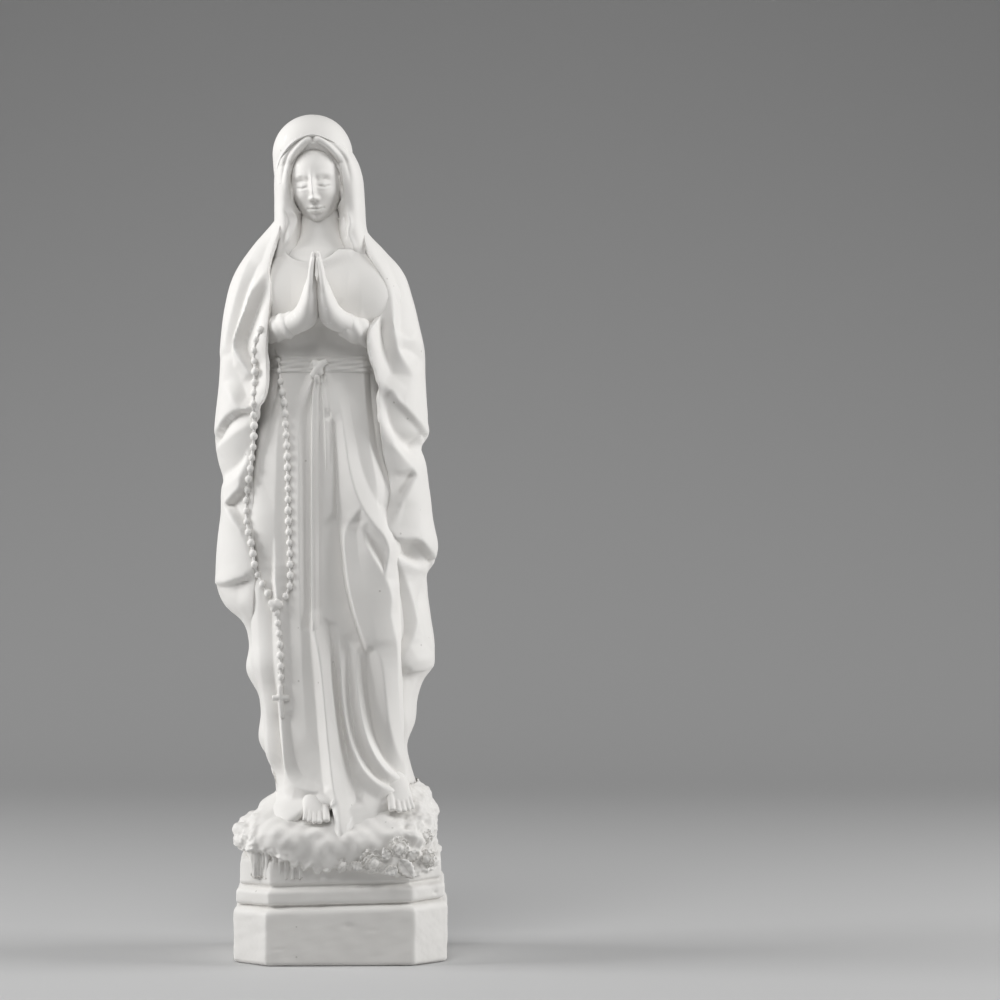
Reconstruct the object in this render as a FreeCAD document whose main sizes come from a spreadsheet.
"""Praying madonna statue, cast in plaster and built up from separate castings on a steel rod.

Millimetres. The origin is the centre of the plinth's underside, +Z is up and the figure faces -Y.
Left and right are the figure's own, so its right hand is on the -X side.
"""

import FreeCAD, Part
import math
import os
import Sketcher
from FreeCAD import Placement, Rotation, Vector

doc = FreeCAD.newDocument("statue")

# ---------------------------------------------------------------- driving dimensions

SIZES = {
    # plinth
    "plinth_width": 75.0,
    "plinth_depth": 64.0,
    "corner_cut": 11.7,
    "block_height": 20.5,
    "block_bevel": 1.6,
    "band_inset": 1.0,
    "band_height": 6.5,
    "band_bevel": 0.8,
    "die_inset": 2.2,
    "die_height": 9.0,
    "recess_margin": 5.0,
    "recess_depth": 2.0,
    "pad_clearance": 0.3,
    # rod and fasteners
    "rod_diameter": 4.0,
    "rod_clearance": 0.2,
    "rod_across": -7.0,
    "rod_back": 3.0,
    "rod_into_head": 9.0,
    "rod_below_nut": 1.0,
    "nut_across_flats": 7.0,
    "nut_height": 3.2,
    "washer_diameter": 12.0,
    "washer_thickness": 1.0,
    "counterbore_diameter": 14.0,
    "counterbore_depth": 7.0,
    # figure
    "figure_height": 264.0,
    "figure_width": 76.0,
    "figure_depth": 50.0,
    "mound_height": 22.0,
    "skirt_seat": 10.0,
    "spigot_diameter": 14.0,
    "spigot_clearance": 0.1,
    "girdle_height": 6.0,
    "girdle_stand": 0.9,
    "ribbon_width": 5.2,
    "ribbon_stand": 1.1,
    "knot_diameter": 7.0,
    "mantle_wall": 3.0,
    "fall_stand": 2.2,
    "veil_wall": 1.8,
    # head and hands
    "head_width": 19.0,
    "head_depth": 24.0,
    "head_height": 31.0,
    "neck_diameter": 12.0,
    "hair_stand": 2.2,
    "hand_length": 26.0,
    "palm_breadth": 10.5,
    "palm_thickness": 3.8,
    "finger_diameter": 2.5,
    "wrist_diameter": 7.6,
    "cuff_diameter": 10.0,
    "cuff_length": 12.0,
    "pin_diameter": 1.5,
    "pin_length": 8.0,
    "pin_clearance": 0.05,
    "foot_length": 17.0,
    "foot_breadth": 9.4,
    "toe_diameter": 2.4,
    # rosary and roses
    "bead_diameter": 2.9,
    "bead_pitch": 3.9,
    "thread_diameter": 1.3,
    "bedding_gap": 0.05,
    "crucifix_height": 10.5,
    "crucifix_width": 6.6,
    "crucifix_bar": 1.7,
    "medal_width": 4.6,
    "medal_thickness": 1.6,
    "rose_diameter": 8.4,
    "leaf_length": 8.0,
    "leaf_thickness": 0.9,
}

sheet = doc.addObject("Spreadsheet::Sheet", "sizes")
for line, (alias, value) in enumerate(SIZES.items(), start=1):
    sheet.set(f"A{line}", alias)
    sheet.set(f"B{line}", str(value))
    sheet.setAlias(f"B{line}", alias)
doc.recompute()


def size(alias):
    """The value that the sheet holds for an alias."""
    return float(sheet.get(alias))


# ---------------------------------------------------------------- levels and the carving scale

BAND_Z = "sizes.block_height"
DIE_Z = "(sizes.block_height + sizes.band_height)"
GROUND = size("block_height") + size("band_height") + size("die_height")

# The figure's outlines are drawn at the maquette's size and scaled to the figure's.
MAQUETTE_HEIGHT, MAQUETTE_WIDTH, MAQUETTE_DEPTH = 264.0, 76.0, 50.0
WIDEN = size("figure_width") / MAQUETTE_WIDTH
DEEPEN = size("figure_depth") / MAQUETTE_DEPTH


def level(above_ground):
    """Height of a point that is that far above the ground on the maquette."""
    return GROUND + above_ground * size("figure_height") / MAQUETTE_HEIGHT


# The mound grows with the figure, so that feet and hem stay on it.
MOUND_TOP = level(size("mound_height"))
SKIRT_FOOT = level(size("mound_height") - size("skirt_seat"))


def spot(across, back, above_ground):
    """A point of the maquette, at the figure's size."""
    return Vector(across * WIDEN, back * DEEPEN, level(above_ground))


# ---------------------------------------------------------------- helpers

made = []


def keep(obj, label):
    """Marks a document object as one of the statue's pieces."""
    obj.Label = label
    made.append(obj)
    return obj


def piece(label, shape):
    """A piece whose outline neither Part Design nor a Part primitive can give."""
    feature = doc.addObject("Part::Feature", label)
    feature.Shape = shape
    return keep(feature, label)


def solid_of(shape):
    """The one main solid of a boolean's result, without slivers."""
    return max(shape.Solids, key=lambda s: s.Volume)


HEALING = 0.001


def healed(shape):
    """Repairs a shape in place and tells whether that worked."""
    try:
        shape.fix(HEALING, HEALING, 10 * HEALING)
    except RuntimeError:
        return False
    return True


def trimmed(shape, *neighbours):
    """The shape without what its neighbours fill, healed where a cut leaves loose edges."""
    for neighbour in neighbours:
        if not shape.BoundBox.intersect(neighbour.BoundBox):
            continue
        left = solid_of(shape.cut(neighbour))
        if not left.isValid() and not healed(left):
            left = solid_of(shape.cut((neighbour,), HEALING))
        shape = left
    return shape


def origin_plane(body, role):
    """One of a body's own origin planes."""
    return next(f for f in body.Origin.OriginFeatures if f.Role == role)


def sketch_on(body, name, role, lift="0"):
    """A new sketch on an origin plane, lifted along the plane's normal by an expression."""
    sketch = body.newObject("Sketcher::SketchObject", name)
    sketch.AttachmentSupport = (origin_plane(body, role), [""])
    sketch.MapMode = "FlatFace"
    sketch.setExpression(".AttachmentOffset.Base.z", lift)
    return sketch


def drive(sketch, constraint, expression):
    """Adds a dimension to a sketch and binds it to an expression."""
    index = sketch.addConstraint(constraint)
    sketch.setExpression(f"Constraints[{index}]", expression)


# Rough sizes that a sketch is drawn with before its dimensions pull it into shape.
ROUGH_HALF_WIDTH, ROUGH_HALF_DEPTH, ROUGH_CUT, ROUGH_RADIUS = 40.0, 30.0, 10.0, 5.0


def octagon(sketch, width, depth, cut):
    """A rectangle with its four corners cut off at 45 degrees, centred on the sketch's origin."""
    w, d, c = ROUGH_HALF_WIDTH, ROUGH_HALF_DEPTH, ROUGH_CUT
    right = [(w - c, -d), (w, c - d), (w, d - c), (w - c, d)]
    corners = right + [(-x, -y) for x, y in right]
    for start, end in zip(corners, corners[1:] + corners[:1]):
        sketch.addGeometry(Part.LineSegment(Vector(*start, 0), Vector(*end, 0)))
    for side in range(8):
        sketch.addConstraint(Sketcher.Constraint("Coincident", side, 2, (side + 1) % 8, 1))
    for corner in range(4):
        sketch.addConstraint(Sketcher.Constraint("Symmetric", corner, 1, corner + 4, 1, -1, 1))
    sketch.addConstraint(Sketcher.Constraint("Vertical", 1))
    sketch.addConstraint(Sketcher.Constraint("Horizontal", 7))
    drive(sketch, Sketcher.Constraint("DistanceX", 5, 1, 1, 1, 2 * w), width)
    drive(sketch, Sketcher.Constraint("DistanceY", 0, 1, 3, 1, 2 * d), depth)
    drive(sketch, Sketcher.Constraint("DistanceX", 0, 1, 0, 2, c), cut)
    drive(sketch, Sketcher.Constraint("DistanceY", 0, 1, 0, 2, c), cut)
    drive(sketch, Sketcher.Constraint("DistanceX", 2, 2, 2, 1, c), cut)
    drive(sketch, Sketcher.Constraint("DistanceY", 2, 1, 2, 2, c), cut)


def circle(sketch, diameter, across="0", back="0"):
    """A circle whose diameter and centre are expressions."""
    index = sketch.addGeometry(Part.Circle(Vector(1, 1, 0), Vector(0, 0, 1), ROUGH_RADIUS))
    drive(sketch, Sketcher.Constraint("Diameter", index, 2 * ROUGH_RADIUS), diameter)
    drive(sketch, Sketcher.Constraint("DistanceX", -1, 1, index, 3, 1), across)
    drive(sketch, Sketcher.Constraint("DistanceY", -1, 1, index, 3, 1), back)


def pad(body, sketch, length, name):
    """Pads a sketch upwards."""
    feature = body.newObject("PartDesign::Pad", name)
    feature.Profile = sketch
    feature.setExpression("Length", length)
    sketch.Visibility = False
    return feature


THROUGH_ALL = 1


def pocket(body, sketch, name, length=None):
    """Cuts a sketch upwards into the body, right through if no length is given."""
    feature = body.newObject("PartDesign::Pocket", name)
    feature.Profile = sketch
    feature.Reversed = True
    if length is None:
        feature.Type = THROUGH_ALL
    else:
        feature.setExpression("Length", length)
    return feature


def bevel_top(body, base, name, expression):
    """Chamfers the edges round a feature's highest face."""
    doc.recompute()
    top = base.Shape.BoundBox.ZMax
    rim = [
        f"Edge{i}"
        for i, edge in enumerate(base.Shape.Edges, start=1)
        if all(abs(v.Z - top) < 1e-4 for v in edge.Vertexes)
    ]
    feature = body.newObject("PartDesign::Chamfer", name)
    feature.Base = (base, rim)
    feature.setExpression("Size", expression)
    return feature


ROD_X, ROD_Y = "sizes.rod_across", "sizes.rod_back"


# ---------------------------------------------------------------- plinth, pad and fasteners


def make_plinth():
    """The octagonal foot: block, band and die in one casting, hollowed below for the nut and the pad."""
    body = doc.addObject("PartDesign::Body", "Plinth")
    tiers = [
        ("block", "0", "sizes.block_height", "0", "sizes.block_bevel"),
        ("band", BAND_Z, "sizes.band_height", "2 * sizes.band_inset", "sizes.band_bevel"),
        ("die", DIE_Z, "sizes.die_height", "2 * sizes.die_inset", "sizes.band_bevel"),
    ]
    for name, lift, height, inset, bevel in tiers:
        sketch = sketch_on(body, f"{name}_outline", "XY_Plane", lift)
        octagon(sketch, f"sizes.plinth_width - {inset}", f"sizes.plinth_depth - {inset}", "sizes.corner_cut")
        tier = pad(body, sketch, height, f"{name}_pad")
        bevel_top(body, tier, f"{name}_edge", bevel)
    recess = sketch_on(body, "recess_outline", "XY_Plane")
    octagon(
        recess,
        "sizes.plinth_width - 2 * sizes.recess_margin",
        "sizes.plinth_depth - 2 * sizes.recess_margin",
        "sizes.corner_cut",
    )
    pocket(body, recess, "pad_recess", "sizes.recess_depth")
    seat = sketch_on(body, "counterbore_outline", "XY_Plane")
    circle(seat, "sizes.counterbore_diameter", ROD_X, ROD_Y)
    pocket(body, seat, "counterbore", "sizes.recess_depth + sizes.counterbore_depth")
    way = sketch_on(body, "rod_way", "XY_Plane")
    circle(way, "sizes.rod_diameter + 2 * sizes.rod_clearance", ROD_X, ROD_Y)
    pocket(body, way, "rod_hole")
    return keep(body, "plinth")


def make_base_pad():
    """The cork pad that fills the recess and hides the nut."""
    body = doc.addObject("PartDesign::Body", "BasePad")
    sketch = sketch_on(body, "pad_outline", "XY_Plane")
    gap = "2 * (sizes.recess_margin + sizes.pad_clearance)"
    octagon(sketch, f"sizes.plinth_width - {gap}", f"sizes.plinth_depth - {gap}", "sizes.corner_cut")
    pad(body, sketch, "sizes.recess_depth", "pad_sheet")
    return keep(body, "base_pad")


def make_rod():
    """The threaded rod that ties plinth, mound, gown and head together."""
    rod = doc.addObject("Part::Cylinder", "Rod")
    rod.setExpression("Radius", "sizes.rod_diameter / 2")
    rod.Height = ROD_TOP - ROD_BOTTOM
    rod.Placement.Base = Vector(size("rod_across"), size("rod_back"), ROD_BOTTOM)
    return keep(rod, "armature_rod")


WASHER_TOP = size("recess_depth") + size("counterbore_depth")
NUT_TOP = WASHER_TOP - size("washer_thickness")
ROD_BOTTOM = NUT_TOP - size("nut_height") - size("rod_below_nut")


def make_washer():
    """The plain washer under the nut."""
    body = doc.addObject("PartDesign::Body", "Washer")
    lift = "sizes.recess_depth + sizes.counterbore_depth - sizes.washer_thickness"
    sketch = sketch_on(body, "washer_outline", "XY_Plane", lift)
    circle(sketch, "sizes.washer_diameter", ROD_X, ROD_Y)
    circle(sketch, "sizes.rod_diameter + 2 * sizes.rod_clearance", ROD_X, ROD_Y)
    pad(body, sketch, "sizes.washer_thickness", "washer_disc")
    return keep(body, "rod_washer")


def make_nut():
    """The hexagon nut that pulls the rod down."""
    body = doc.addObject("PartDesign::Body", "Nut")
    lift = "sizes.recess_depth + sizes.counterbore_depth - sizes.washer_thickness - sizes.nut_height"
    sketch = sketch_on(body, "nut_outline", "XY_Plane", lift)
    turns = [math.radians(60 * k) for k in range(6)]
    corners = [Vector(ROUGH_RADIUS * math.cos(turn), ROUGH_RADIUS * math.sin(turn), 0) for turn in turns]
    for start, end in zip(corners, corners[1:] + corners[:1]):
        sketch.addGeometry(Part.LineSegment(start, end))
    guide = sketch.addGeometry(Part.Circle(Vector(0, 0, 0), Vector(0, 0, 1), ROUGH_RADIUS), True)
    for side in range(6):
        sketch.addConstraint(Sketcher.Constraint("Coincident", side, 2, (side + 1) % 6, 1))
        sketch.addConstraint(Sketcher.Constraint("PointOnObject", side, 1, guide))
    for side in range(1, 6):
        sketch.addConstraint(Sketcher.Constraint("Equal", 0, side))
    sketch.addConstraint(Sketcher.Constraint("Horizontal", 1))
    across_corners = "sizes.nut_across_flats / cos(30)"
    drive(sketch, Sketcher.Constraint("Diameter", guide, 2 * ROUGH_RADIUS), across_corners)
    drive(sketch, Sketcher.Constraint("DistanceX", -1, 1, guide, 3, 1), ROD_X)
    drive(sketch, Sketcher.Constraint("DistanceY", -1, 1, guide, 3, 1), ROD_Y)
    circle(sketch, "sizes.rod_diameter", ROD_X, ROD_Y)
    pad(body, sketch, "sizes.nut_height", "nut_hexagon")
    return keep(body, "rod_nut")


# ---------------------------------------------------------------- draped lofts

POINTS_PER_FOLD = 5
FOLD_DRIFT = 0.4


def outline(across_low, across_high, front, back, height, folds, ripple, turn, grow=0.0):
    """A closed smooth outline at one height: an oval with fold waves round it."""
    mid_x, mid_y = (across_low + across_high) / 2 * WIDEN, (front + back) / 2 * DEEPEN
    half_x = (across_high - across_low) / 2 * WIDEN + grow
    half_y = (back - front) / 2 * DEEPEN + grow
    count = POINTS_PER_FOLD * folds
    points = []
    for k in range(count):
        angle = 2 * math.pi * k / count
        wave = ripple * math.cos(folds * angle + turn)
        x = mid_x + (half_x + wave) * math.cos(angle)
        y = mid_y + (half_y + wave) * math.sin(angle)
        points.append(Vector(x, y, height))
    curve = Part.BSplineCurve()
    curve.interpolate(Points=points, PeriodicFlag=True)
    return Part.Wire(curve.toShape())


def draped(stations, folds, ripple, grow=0.0):
    """A loft through oval outlines whose folds drift sideways from one to the next.

    A station is (height, low x, high x, front y, back y).
    """
    wires = [
        outline(low, high, front, back, height, folds, ripple, FOLD_DRIFT * row, grow)
        for row, (height, low, high, front, back) in enumerate(stations)
    ]
    return Part.makeLoft(wires, True, False)


def at_levels(rows):
    """Stations whose heights are given above the ground on the maquette."""
    return [(level(height), *rest) for height, *rest in rows]


# height above ground, right side x, left side x, front y, back y
SKIRT_ROWS = [
    (34, -23, 20.5, -23, 15),
    (58, -26, 20.5, -18, 15),
    (92, -26.5, 19, -17, 15),
    (128, -26, 16, -16, 14),
    (154, -23.5, 12, -14, 13),
    (169, -21.6, 9.4, -12.5, 12),
]
BODICE_ROWS = [
    (188, -25, 11, -14, 13),
    (202, -30, 15, -14.5, 15),
    (211, -33.5, 18.5, -12.5, 18),
    (217, -29.5, 15.2, -10, 16.5),
]
MANTLE_ROWS = [
    (22, -25.4, 25.4, -15, 22),
    (38, -28.6, 25.4, -15.5, 23),
    (55, -30.8, 27, -16, 24),
    (72, -35, 31.6, -16, 25),
    (85, -40.6, 32, -16, 25),
    (98, -43.6, 31.5, -16.5, 25),
    (121, -43.4, 32, -16.5, 25),
    (147, -44.8, 30.6, -16.5, 25),
    (180, -43.4, 28.6, -16, 24),
    (203, -39.6, 24.6, -14, 22),
    (213, -34.6, 20, -12, 20),
    (221, -27, 13.8, -9, 18),
    (227, -21, 6.5, -5, 15),
]
VEIL_ROWS = [
    (213, -36.4, 21.8, -13.4, 21.6),
    (221, -28.8, 15.6, -12.4, 19.6),
    (228, -23, 8.8, -12.2, 17.8),
    (235, -22.6, 6.6, -13, 17.2),
    (246, -24.8, 5.0, -13.4, 17),
    (256, -22.4, 0.8, -10.6, 14.6),
    (261.4, -18, -3.4, -6, 10.4),
    (263.6, -13, -8, -0.6, 4.8),
]
SKIRT_FOLDS, MANTLE_FOLDS, VEIL_FOLDS, PLAIN = 9, 9, 5, 3
SKIRT_RIPPLE, MANTLE_RIPPLE, VEIL_RIPPLE = 0.9, 0.8, 0.15

WAIST = level(171)


def skirt_stations():
    """The skirt from its foot, sunk in the mound, up to the waist."""
    foot = (SKIRT_FOOT, -21.5, 20, -22, 15)
    rows = at_levels(SKIRT_ROWS)
    _, *waist_oval = rows[-1]
    return [foot, *rows, (WAIST, *waist_oval)]


def bodice_stations():
    """The bodice from the girdle's top up to the neckline."""
    rows = at_levels(BODICE_ROWS)
    return [(WAIST + size("girdle_height"), -22, 9.6, -12.8, 12.2), *rows]


def rod_bore(bottom, top):
    """The clear way for the rod between two heights."""
    radius = size("rod_diameter") / 2 + size("rod_clearance")
    return Part.makeCylinder(radius, top - bottom, Vector(size("rod_across"), size("rod_back"), bottom))


def front_prism(points, front, back):
    """A prism through an outline drawn as seen from the front, between two depths."""
    wire = Part.makePolygon([Vector(x, front, z) for x, z in points + points[:1]])
    return Part.Face(wire).extrude(Vector(0, back - front, 0))


def drawn(points):
    """Outline points of the maquette, (across, height above ground), at the figure's size."""
    return [(x * WIDEN, level(z)) for x, z in points]


FAR_FRONT = -2.0 * size("figure_depth")
FACET_FINENESS = 0.5
EDGE_ON = 1e-9


def facets(*pieces):
    """The front halves of some pieces as triangles, to find how far forward they stand."""
    triangles = []
    for one in pieces:
        points, faces = one.Shape.tessellate(FACET_FINENESS)
        front = [face for face in faces if points[face[0]].y < size("rod_back")]
        triangles += [tuple(points[i] for i in face) for face in front]
    return triangles


def front_face(triangles, across, height):
    """How far forward the surface stands at a place seen from the front."""
    nearest = 0.0
    for a, b, c in triangles:
        area = (b.x - a.x) * (c.z - a.z) - (c.x - a.x) * (b.z - a.z)
        if abs(area) < EDGE_ON:
            continue
        u = ((across - a.x) * (c.z - a.z) - (c.x - a.x) * (height - a.z)) / area
        v = ((b.x - a.x) * (height - a.z) - (across - a.x) * (b.z - a.z)) / area
        if u >= 0 and v >= 0 and u + v <= 1:
            nearest = min(nearest, a.y + u * (b.y - a.y) + v * (c.y - a.y))
    return nearest


def make_gown():
    """Skirt and bodice castings with the spigot that carries the girdle."""
    skirt = draped(skirt_stations(), SKIRT_FOLDS, SKIRT_RIPPLE)
    spigot_at = Vector(size("rod_across"), size("rod_back"), WAIST)
    spigot_height = 2 * size("girdle_height")
    skirt = skirt.fuse(Part.makeCylinder(size("spigot_diameter") / 2, spigot_height, spigot_at))
    skirt = solid_of(skirt.cut(rod_bore(SKIRT_FOOT - 1, WAIST + spigot_height + 1)))
    socket_radius = size("spigot_diameter") / 2 + size("spigot_clearance")
    bodice = draped(bodice_stations(), SKIRT_FOLDS, SKIRT_RIPPLE / 2)
    bodice = bodice.cut(Part.makeCylinder(socket_radius, spigot_height + size("spigot_clearance"), spigot_at))
    bodice = solid_of(bodice.cut(rod_bore(WAIST, level(MAQUETTE_HEIGHT))))
    return piece("gown_skirt", skirt), piece("gown_bodice", bodice)


def make_girdle():
    """The band round the waist, between skirt and bodice."""
    _, low, high, front, back = skirt_stations()[-1]
    top = WAIST + size("girdle_height")
    middle = (WAIST + top) / 2
    stand = size("girdle_stand")
    wires = [
        outline(low, high, front, back, height, SKIRT_FOLDS, 0.0, 0.0, grow)
        for height, grow in ((WAIST, 0.2 * stand), (middle, stand), (top, 0.2 * stand))
    ]
    band = Part.makeLoft(wires, True, False)
    socket_radius = size("spigot_diameter") / 2 + size("spigot_clearance")
    socket_at = Vector(size("rod_across"), size("rod_back"), WAIST)
    return piece("girdle", band.cut(Part.makeCylinder(socket_radius, size("girdle_height"), socket_at)))


RIBBON_LINES = {
    "sash_tail_right": [(-6.6, 170), (-8.4, 140), (-8.6, 110), (-7.4, 82)],
    "sash_tail_left": [(-3.2, 170), (-3.6, 140), (-3.0, 110), (-1.8, 76)],
}
KNOT_ACROSS, KNOT_HEIGHT = -5.0, 173.5


def ribbon_outline(middle_line):
    """The outline of a hanging ribbon round its middle line."""
    half = size("ribbon_width") / 2
    line = drawn(middle_line)
    return [(x - half, z) for x, z in line] + [(x + half, z) for x, z in reversed(line)]


def make_sash(skirt, bodice, girdle):
    """Two ribbon ends that lie on the skirt, and the knot that they hang from."""
    stations = skirt_stations()
    cover = draped(stations, SKIRT_FOLDS, SKIRT_RIPPLE, size("ribbon_stand"))
    cover = cover.cut(skirt.Shape).cut(girdle.Shape)
    tails = []
    for label, line in RIBBON_LINES.items():
        ribbon = cover.common(front_prism(ribbon_outline(line), FAR_FRONT, 0))
        tails.append(piece(label, trimmed(ribbon, *[t.Shape for t in tails])))
    at = spot(KNOT_ACROSS, 0, KNOT_HEIGHT)
    at.y = front_face(facets(girdle), at.x, at.z)
    knot = Part.makeSphere(size("knot_diameter") / 2, at)
    knot = trimmed(knot, girdle.Shape, skirt.Shape, bodice.Shape, *[t.Shape for t in tails])
    return [*tails, piece("sash_knot", knot)]


# ---------------------------------------------------------------- mantle and veil

MANTLE_OPENING = [
    (-22.5, 30),
    (-24, 60),
    (-29, 86),
    (-30, 110),
    (-30, 150),
    (-26, 176),
    (-21, 186),
    (-22, 205),
    (-21, 226),
    (-14, 234),
    (0, 234),
    (7, 226),
    (10, 205),
    (9, 186),
    (12, 176),
    (15, 150),
    (17, 110),
    (20.5, 86),
    (21.5, 60),
    (22, 30),
]
FALL_OUTLINES = {
    "mantle_fall_right": [
        (-43, 186),
        (-27, 187),
        (-26.6, 168),
        (-31, 156),
        (-31.4, 128),
        (-29.6, 99),
        (-44, 96),
        (-44.6, 110),
        (-42, 134),
        (-45, 150),
    ],
    "mantle_fall_left": [
        (13, 186),
        (28.5, 182),
        (30, 150),
        (31, 120),
        (33, 106),
        (31.5, 74),
        (29, 63),
        (21, 66),
        (18, 98),
        (16, 130),
        (13.4, 160),
    ],
}


def shrunk(rows, wall):
    """Stations drawn in by a wall on every side."""
    return [
        (z, low + wall / WIDEN, high - wall / WIDEN, front + wall / DEEPEN, back - wall / DEEPEN)
        for z, low, high, front, back in rows
    ]


def make_mantle(neighbours):
    """The cloak: a shell round the back, open in front, resting on the shoulders and the mound."""
    rows = at_levels(MANTLE_ROWS)
    rows[0] = (MOUND_TOP, *rows[0][1:])
    outer = draped(rows, MANTLE_FOLDS, MANTLE_RIPPLE)
    cavity = draped(shrunk(rows, size("mantle_wall")), PLAIN, 0.0)
    opening = front_prism(drawn(MANTLE_OPENING), FAR_FRONT, 0)
    shell = outer.cut(cavity).cut(opening)
    mantle = piece("mantle", trimmed(shell, *[n.Shape for n in neighbours]))
    cover = draped(rows, MANTLE_FOLDS, MANTLE_RIPPLE, size("fall_stand")).cut(outer)
    falls = []
    for label, points in FALL_OUTLINES.items():
        fall = cover.common(front_prism(drawn(points), FAR_FRONT, 0))
        falls.append(piece(label, solid_of(fall)))
    return [mantle, *falls]


VEIL_OPENING = [
    (-28, 190),
    (-21.4, 210),
    (-21.0, 236),
    (-20.0, 245),
    (-15, 253.5),
    (-10, 255.5),
    (-4, 253),
    (0, 247),
    (3, 236),
    (6, 215),
    (13, 190),
]


def make_veil(neighbours):
    """The hood over the hair, falling on to the shoulders."""
    rows = at_levels(VEIL_ROWS)
    outer = draped(rows, VEIL_FOLDS, VEIL_RIPPLE)
    cavity = draped(shrunk(rows[:-1], size("veil_wall")), PLAIN, 0.0)
    shell = outer.cut(cavity).cut(front_prism(drawn(VEIL_OPENING), FAR_FRONT, 0))
    return piece("veil", trimmed(shell, *[n.Shape for n in neighbours]))


# ---------------------------------------------------------------- head, hands and feet


# Shares of the head's height, width and depth: half sizes (up, across, back), then how far the middle
# lies across, forward and down from the skull's.
HEAD_PARTS = {
    "Skull": ((0.47, 0.5, 0.5), (0.0, 0.0, 0.0)),
    "Jaw": ((0.33, 0.41, 0.36), (0.04, 0.2, 0.33)),
    "Nose": ((0.12, 0.07, 0.07), (0.03, 0.5, 0.2)),
}
HEAD_AT = spot(-9.2, 0.5, 245.0)
NECK_LEAN = 1.2


def make_head():
    """Head and neck as one casting, with a plain egg-shaped face."""
    lumps = []
    for name, ((tall, wide, deep), (aside, forward, down)) in HEAD_PARTS.items():
        lump = doc.addObject("Part::Ellipsoid", name)
        lump.setExpression("Radius1", f"sizes.head_height * {tall}")
        lump.setExpression("Radius2", f"sizes.head_width * {wide}")
        lump.setExpression("Radius3", f"sizes.head_depth * {deep}")
        move = Vector(aside * size("head_width"), -forward * size("head_depth"), -down * size("head_height"))
        lump.Placement.Base = HEAD_AT + move
        lumps.append(lump)
    neck = doc.addObject("Part::Cylinder", "Neck")
    neck.setExpression("Radius", "sizes.neck_diameter / 2")
    neck.Height = HEAD_AT.z - NECK_FOOT
    neck.Placement.Base = Vector(HEAD_AT.x + NECK_LEAN, HEAD_AT.y, NECK_FOOT)
    whole = doc.addObject("Part::MultiFuse", "HeadWhole")
    whole.Shapes = [*lumps, neck]
    bore = doc.addObject("Part::Cylinder", "HeadBore")
    bore.setExpression("Radius", "sizes.rod_diameter / 2 + sizes.rod_clearance")
    bore.Height = ROD_TOP - NECK_FOOT + size("rod_clearance")
    bore.Placement.Base = Vector(size("rod_across"), size("rod_back"), NECK_FOOT)
    head = doc.addObject("Part::Cut", "Head")
    head.Base, head.Tool = whole, bore
    return keep(head, "head")


NECK_FOOT = level(BODICE_ROWS[-1][0])
ROD_TOP = NECK_FOOT + size("rod_into_head")


FACE_OPENING = [(-17.0, 215), (-17.4, 245), (-14, 250), (-10, 251.6), (-5, 250), (-1.4, 244), (0.6, 215)]
FACE_DEPTH = -1.0
NAPE_SHARE = 0.28


def make_hair(head):
    """The hair that frames the face, a cap between the skull and the veil."""
    (tall, wide, deep), _ = HEAD_PARTS["Skull"]
    grow = size("hair_stand")
    halves = (
        wide * size("head_width") + grow,
        deep * size("head_depth") + grow,
        tall * size("head_height") + grow,
    )
    stretch = FreeCAD.Matrix()
    stretch.scale(*halves)
    cap = Part.makeSphere(1.0).transformGeometry(stretch)
    cap.translate(HEAD_AT)
    cap = cap.cut(front_prism(drawn(FACE_OPENING), FAR_FRONT, FACE_DEPTH))
    room = 2 * size("head_height")
    nape = HEAD_AT.z - NAPE_SHARE * size("head_height")
    corner = Vector(HEAD_AT.x - room / 2, HEAD_AT.y - room / 2, nape - room)
    neck_room = Part.makeBox(room, room, room, corner)
    return piece("hair", trimmed(cap.cut(neck_room), head.Shape))


def capsule(start, end, radius):
    """A round-ended bar between two points."""
    along = end - start
    bar = Part.makeCylinder(radius, along.Length, start, along)
    return bar.fuse([Part.makeSphere(radius, start), Part.makeSphere(radius, end)])


PALMS = spot(-6.6, -24, 213)
# Shares of the hand's length and breadth, and of the palm's thickness.
HEEL_DOWN, HEEL_BACK, HEEL_APART = 0.94, 0.16, 0.7
KNUCKLES_DOWN, KNUCKLES_BACK, KNUCKLES_APART = 0.44, 0.02, 0.55
FINGERS = ((0.9, -0.36), (1.0, -0.12), (0.98, 0.12), (0.84, 0.36))
FINGERS_CLOSE = 0.18
PALM_BARS = (-0.34, 0.0, 0.34)
PALM_NARROWS = 0.55
THUMB_FROM, THUMB_TO = 0.4, 0.6


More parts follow.
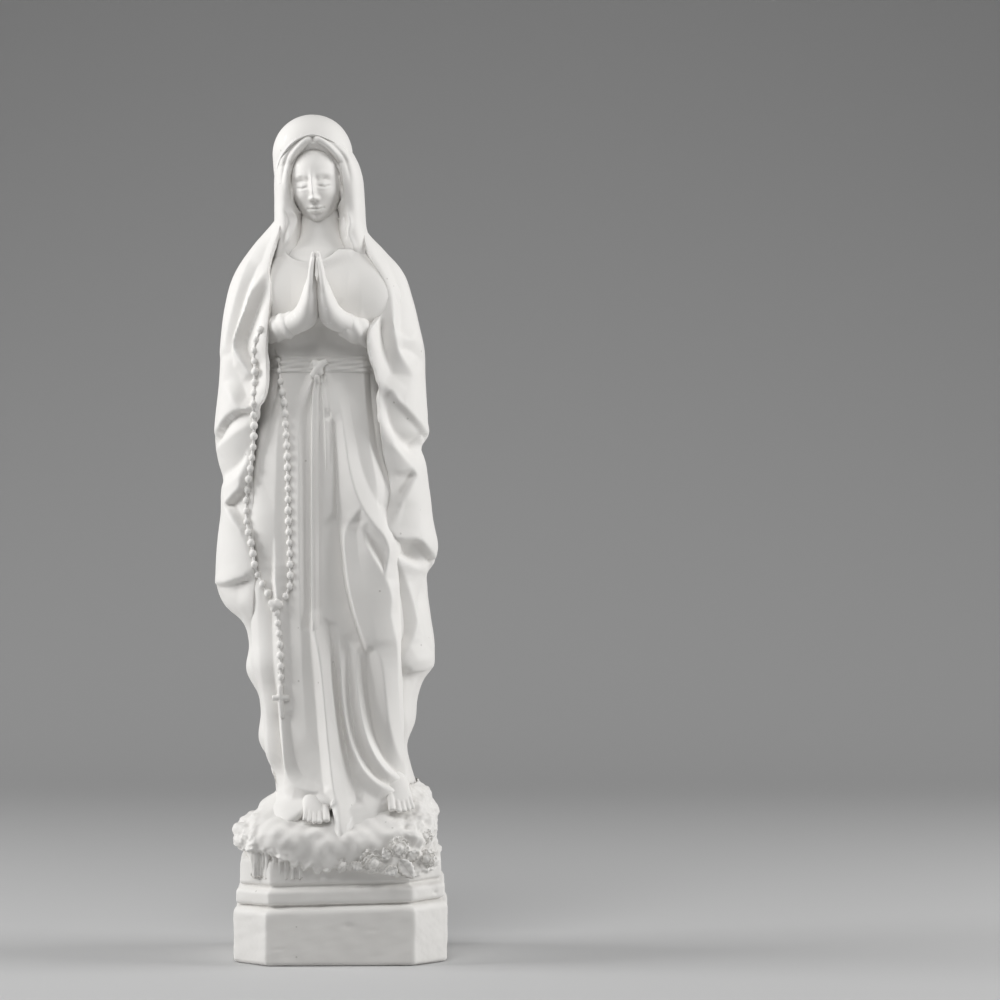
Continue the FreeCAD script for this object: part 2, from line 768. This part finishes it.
def make_hand(side):
    """One praying hand, from its wrist to its fingertips. side is -1 for the right hand, 1 for the left.

    Returns the hand and the middle of its heel.
    """
    length, breadth, thick = size("hand_length"), size("palm_breadth"), size("palm_thickness")
    radius = size("finger_diameter") / 2
    tip = PALMS + Vector(side * radius, 0, 0)
    heel = PALMS + Vector(side * (HEEL_APART * thick + radius), HEEL_BACK * length, -HEEL_DOWN * length)
    knuckles = PALMS + Vector(side * KNUCKLES_APART * thick, KNUCKLES_BACK * length, -KNUCKLES_DOWN * length)
    digits = []
    for reach, spread in FINGERS:
        root = knuckles + Vector(0, spread * breadth, 0)
        end = root + (tip - knuckles) * reach + Vector(0, -FINGERS_CLOSE * spread * breadth, -radius)
        digits.append(capsule(root, end, radius))
    palm_bars = [
        capsule(
            knuckles + Vector(0, share * breadth, 0),
            heel + Vector(0, PALM_NARROWS * share * breadth, 0),
            thick / 2,
        )
        for share in PALM_BARS
    ]
    thumb_root = heel + Vector(0, THUMB_FROM * breadth, 2 * radius)
    thumb = capsule(thumb_root, knuckles + Vector(0, THUMB_TO * breadth, radius), radius)
    hand = palm_bars[0].fuse(palm_bars[1:] + digits + [thumb])
    reach = 2 * length
    corner = PALMS - Vector(0 if side > 0 else reach, reach, reach)
    return hand.common(Part.makeBox(reach, 2 * reach, 2 * reach, corner)), heel


CUFF_BACK, CUFF_DOWN = 0.42, -0.34
CUFF_OFFSET = 0.3
CUFF_ROUNDING = 0.8


def make_hands(neighbours):
    """Both hands, the tight cuffs behind them and the pins that join each pair."""
    made_pieces, pins = [], []
    pin_radius, pin_length = size("pin_diameter") / 2, size("pin_length")
    hole_radius = pin_radius + size("pin_clearance")
    for name, side in (("right", -1), ("left", 1)):
        hand, heel = make_hand(side)
        direction = Vector(side, CUFF_BACK, CUFF_DOWN)
        direction.normalize()
        wrist = heel + direction * (CUFF_OFFSET * size("wrist_diameter"))
        cuff = Part.makeCone(
            size("wrist_diameter") / 2, size("cuff_diameter") / 2, size("cuff_length"), wrist, direction
        )
        rims = [e for e in cuff.Edges if e.Curve.TypeId == "Part::GeomCircle"]
        cuff = cuff.makeFillet(CUFF_ROUNDING, rims[:1])
        cuff = trimmed(cuff, *[n.Shape for n in neighbours])
        hand = trimmed(hand, cuff)
        pin_start = wrist - direction * (pin_length / 2)
        pins.append(Part.makeCylinder(pin_radius, pin_length, pin_start, direction))
        hole = Part.makeCylinder(hole_radius, pin_length, pin_start, direction)
        made_pieces.append(piece(f"cuff_{name}", trimmed(cuff, hole)))
        made_pieces.append(piece(f"hand_{name}", trimmed(hand, hole)))
    made_pieces.append(piece("wrist_pins", Part.makeCompound(pins)))
    return made_pieces


# Where each foot's toes point to, how high they stand, and the turn of the foot.
FEET = {"foot_right": (-8.0, -29.5, 15.6, -8), "foot_left": (21.0, -22.5, 16.0, 14)}
# Shares of the foot's breadth, length and toe diameter.
TOES = (-0.38, -0.14, 0.08, 0.28, 0.44)
TOE_ROOT, TOE_TIP, TOE_FALLS_BACK, TOE_DROP = 0.3, 0.05, 0.2, 0.1
TOE_SPREAD, TOE_TAPER = 1.05, 0.06
INSTEP_FROM, INSTEP_TO, INSTEP_HALF = (0.36, 0.1), (0.8, 0.6), 0.36


def make_feet(neighbours):
    """The bare feet that look out under the hem."""
    feet = []
    length, breadth, toe = size("foot_length"), size("foot_breadth"), size("toe_diameter")
    for label, (across, front, height, splay) in FEET.items():
        toes = []
        for k, share in enumerate(TOES):
            root = Vector(share * breadth, TOE_ROOT * length, 0)
            back = (TOE_TIP + abs(share) * TOE_FALLS_BACK) * length
            tip = Vector(TOE_SPREAD * share * breadth, back, -TOE_DROP * toe)
            toes.append(capsule(root, tip, toe / 2 * (1.0 - TOE_TAPER * k)))
        ends = [Vector(0, back * length, up * toe) for back, up in (INSTEP_FROM, INSTEP_TO)]
        foot = capsule(*ends, INSTEP_HALF * breadth).fuse(toes)
        foot.Placement = Placement(spot(across, front, height), Rotation(Vector(0, 0, 1), splay))
        feet.append(piece(label, trimmed(foot, *[n.Shape for n in neighbours])))
    return feet


# ---------------------------------------------------------------- mound, roses and leaves

MOUND_ROWS = [(10, -35, 35, -30, 30), (16.5, -31, 34, -28, 28)]
MOUND_TOP_OVAL = (-28.6, 31, -23, 25)
MAQUETTE_MOUND_HEIGHT = 22.0
MOUND_FOLDS, MOUND_RIPPLE = 7, 0.6
LEDGE, LEDGE_SHARE = 14.5, 0.27


def make_mound(neighbours):
    """The rock that the figure stands on, seated on the die."""
    half_w = size("plinth_width") / 2 - size("die_inset") - size("band_bevel")
    half_d = size("plinth_depth") / 2 - size("die_inset") - size("band_bevel")
    rows = [(GROUND, -half_w / WIDEN, half_w / WIDEN, -half_d / DEEPEN, half_d / DEEPEN)]
    rise = size("mound_height") / MAQUETTE_MOUND_HEIGHT
    rows += [(level(height * rise), *rest) for height, *rest in MOUND_ROWS]
    rows.append((MOUND_TOP, *MOUND_TOP_OVAL))
    rock = draped(rows, MOUND_FOLDS, MOUND_RIPPLE).cut(rod_bore(GROUND - 1, MOUND_TOP + 1))
    rock = trimmed(rock, *[n.Shape for n in neighbours])
    width, depth = size("plinth_width"), size("plinth_depth")
    corner = Vector(-width, -depth - LEDGE_SHARE * size("figure_depth"), level(LEDGE))
    ledge = Part.makeBox(2 * width, depth, depth, corner)
    return piece("rock_mound", solid_of(rock.cut(ledge)))


# Across, height above ground and share of the largest bloom's size.
ROSES = [(2.5, 3.0, 0.62), (12.5, 4.5, 1.0), (21.5, 9.0, 0.9), (27.0, 14.0, 0.8)]
# Across, height above ground and turn.
LEAVES = [(18.5, 1.5, -35), (-1.5, 2.0, 30), (24.0, 3.5, -60)]
# Shares of a bloom's radius.
BUD_RADIUS, BUD_LIFT = 0.62, 0.3
PETAL_RINGS = ((0.62, 0.1), (0.5, 0.42))
PETAL_RADIUS = 0.32
LEAF_BULGE = 0.5


def make_rose(radius, at):
    """A bloom: two rings of petals round a bud."""
    forward = Vector(0, -radius, 0)
    bud = Part.makeSphere(BUD_RADIUS * radius, at + forward * BUD_LIFT)
    rings = [
        Part.makeTorus(share * radius, PETAL_RADIUS * radius, at + forward * lift, forward)
        for share, lift in PETAL_RINGS
    ]
    return bud.fuse(rings)


def make_leaf(at, turn):
    """A pointed leaf that lies flat against the rock."""
    half = size("leaf_length") / 2
    bulge = Vector(0, 0, LEAF_BULGE * half)
    ends = Vector(-half, 0, 0), Vector(half, 0, 0)
    arcs = [
        Part.Arc(ends[0], bulge, ends[1]).toShape(),
        Part.Arc(ends[1], bulge * -1, ends[0]).toShape(),
    ]
    leaf = Part.Face(Part.Wire(arcs)).extrude(Vector(0, -size("leaf_thickness"), 0))
    leaf.Placement = Placement(at, Rotation(Vector(0, -1, 0), turn))
    return leaf


def spot_on(ground, across, height):
    """The point of the ground's surface that lies behind a place of the maquette seen from the front."""
    at = spot(across, 0, height)
    at.y = front_face(ground, at.x, at.z)
    return at


def make_roses(mound):
    """The blooms along the rock's front edge, and the leaves between them."""
    blooms, leaves = [], []
    rock = facets(mound)
    for across, height, share in ROSES:
        bloom = make_rose(share * size("rose_diameter") / 2, spot_on(rock, across, height))
        blooms.append(trimmed(bloom, mound.Shape, *blooms))
    for across, height, turn in LEAVES:
        leaf = make_leaf(spot_on(rock, across, height), turn)
        leaves.append(trimmed(leaf, mound.Shape, *blooms, *leaves))
    return [piece("rose_blooms", Part.makeCompound(blooms)), piece("rose_leaves", Part.makeCompound(leaves))]


# ---------------------------------------------------------------- rosary

OUTER_STRAND = [(-28.5, 184), (-30.5, 170), (-31, 150), (-33, 130), (-31, 112), (-28, 98), (-24, 92)]
INNER_STRAND = [(-22.0, 176), (-19.8, 160), (-18.4, 140), (-17.6, 118), (-17.6, 100), (-20.6, 91)]
PENDANT = [(-22.2, 87), (-21.4, 80), (-20.8, 72), (-20.4, 64)]
MEDAL_AT, CRUCIFIX_AT = (-22.4, 89.5), (-20.2, 57)


def walk(points, pitch):
    """Places at an even pitch along a line seen from the front."""
    left_over = 0.0
    for (x0, z0), (x1, z1) in zip(points, points[1:]):
        length = math.hypot(x1 - x0, z1 - z0)
        along = left_over
        while along <= length:
            yield x0 + (x1 - x0) * along / length, z0 + (z1 - z0) * along / length
            along += pitch
        left_over = along - length


STEEPEST = 1.2


def facing(ground, x, z):
    """The outward direction of the surface at a place seen from the front."""
    step = size("bead_diameter") / 4
    slope_x = (front_face(ground, x + step, z) - front_face(ground, x - step, z)) / (2 * step)
    slope_z = (front_face(ground, x, z + step) - front_face(ground, x, z - step)) / (2 * step)
    slopes = [max(-STEEPEST, min(STEEPEST, slope)) for slope in (slope_x, slope_z)]
    out = Vector(slopes[0], -1, slopes[1])
    out.normalize()
    return out


def flat_backed_bead(at, out, radius, bedding):
    """A bead whose back is cut flat where it lies on the cloth."""
    bed = Part.makeBox(4 * radius, 4 * radius, 2 * radius, Vector(-2 * radius, -2 * radius, bedding))
    bed.Placement = Placement(at, Rotation(Vector(0, 0, 1), out * -1))
    return Part.makeSphere(radius, at).cut(bed)


def strand(points, ground):
    """Flat-backed beads on a thread that follows the cloth behind it."""
    radius = size("thread_diameter") / 2
    stand = radius + size("bedding_gap")
    spots, beads = [], []
    for x, z in walk(drawn(points), size("bead_pitch")):
        out = facing(ground, x, z)
        spots.append(Vector(x, front_face(ground, x, z), z) + out * stand)
        beads.append(flat_backed_bead(spots[-1], out, size("bead_diameter") / 2, radius))
    threads = [Part.makeCylinder(radius, (b - a).Length, a, b - a) for a, b in zip(spots, spots[1:])]
    return beads[0].fuse(beads[1:] + threads)


# Shares of the medal's thickness and the crucifix's height.
RELIEF_DEPTH, RELIEF_STAND, ARMS_AT = 1.4, 1.2, 0.64


def make_medal(at):
    """The medal where the strands meet, a disc that stands proud of the cloth."""
    thick = size("medal_thickness")
    medal = Part.makeCylinder(size("medal_width") / 2, RELIEF_DEPTH * thick, Vector(), Vector(0, 1, 0))
    medal.translate(at - Vector(0, RELIEF_STAND * thick, 0))
    return medal


def make_crucifix(at):
    """A plain cross; its arms cross the post at the given point."""
    thick = size("medal_thickness")
    bar, tall, wide = size("crucifix_bar"), size("crucifix_height"), size("crucifix_width")
    post = Part.makeBox(bar, RELIEF_DEPTH * thick, tall, Vector(-bar / 2, 0, -ARMS_AT * tall))
    arms = Part.makeBox(wide, RELIEF_DEPTH * thick, bar, Vector(-wide / 2, 0, -bar / 2))
    cross = post.fuse(arms).removeSplitter()
    cross.translate(at - Vector(0, RELIEF_STAND * thick, 0))
    return cross


def make_rosary(neighbours):
    """The rosary: two strands from the arm, the medal where they meet, the pendant and the crucifix."""
    ground = facets(*neighbours)
    cloth = [n.Shape for n in neighbours]
    shapes = {
        "rosary_strand_outer": strand(OUTER_STRAND, ground),
        "rosary_strand_inner": strand(INNER_STRAND, ground),
        "rosary_pendant": strand(PENDANT, ground),
        "rosary_medal": trimmed(make_medal(spot_on(ground, *MEDAL_AT)), *cloth),
        "rosary_crucifix": trimmed(make_crucifix(spot_on(ground, *CRUCIFIX_AT)), *cloth),
    }
    rosary = []
    for label, shape in shapes.items():
        rosary.append(piece(label, trimmed(shape, *[r.Shape for r in rosary])))
    return rosary


# ---------------------------------------------------------------- assembly

make_plinth()
make_base_pad()
make_washer()
make_nut()
make_rod()
skirt, bodice = make_gown()
girdle = make_girdle()
tails_and_knot = make_sash(skirt, bodice, girdle)
head = make_head()
doc.recompute()
mantle_pieces = make_mantle([bodice])
hair = make_hair(head)
veil = make_veil([mantle_pieces[0], bodice, hair])
hands = make_hands([mantle_pieces[0], bodice])
mound = make_mound([skirt])
feet = make_feet([skirt, mound])
roses = make_roses(mound)
rosary = make_rosary([*mantle_pieces, skirt, girdle, bodice, *hands[:4]])
doc.recompute()

for obj in doc.Objects:
    if "Invalid" in obj.State or "Error" in obj.State:
        raise RuntimeError(f"{obj.Name} failed: {obj.State}")
for obj in made:
    if obj.Shape.isNull() or not obj.Shape.isValid() or not obj.Shape.Solids:
        raise RuntimeError(f"{obj.Label} has no valid solid")

os.makedirs("parts", exist_ok=True)
for obj in made:
    obj.Shape.exportStep(f"parts/{obj.Label}.step")
    print(f"{obj.Label:22s} solids {len(obj.Shape.Solids):2d}  volume {obj.Shape.Volume:10.1f} mm3")
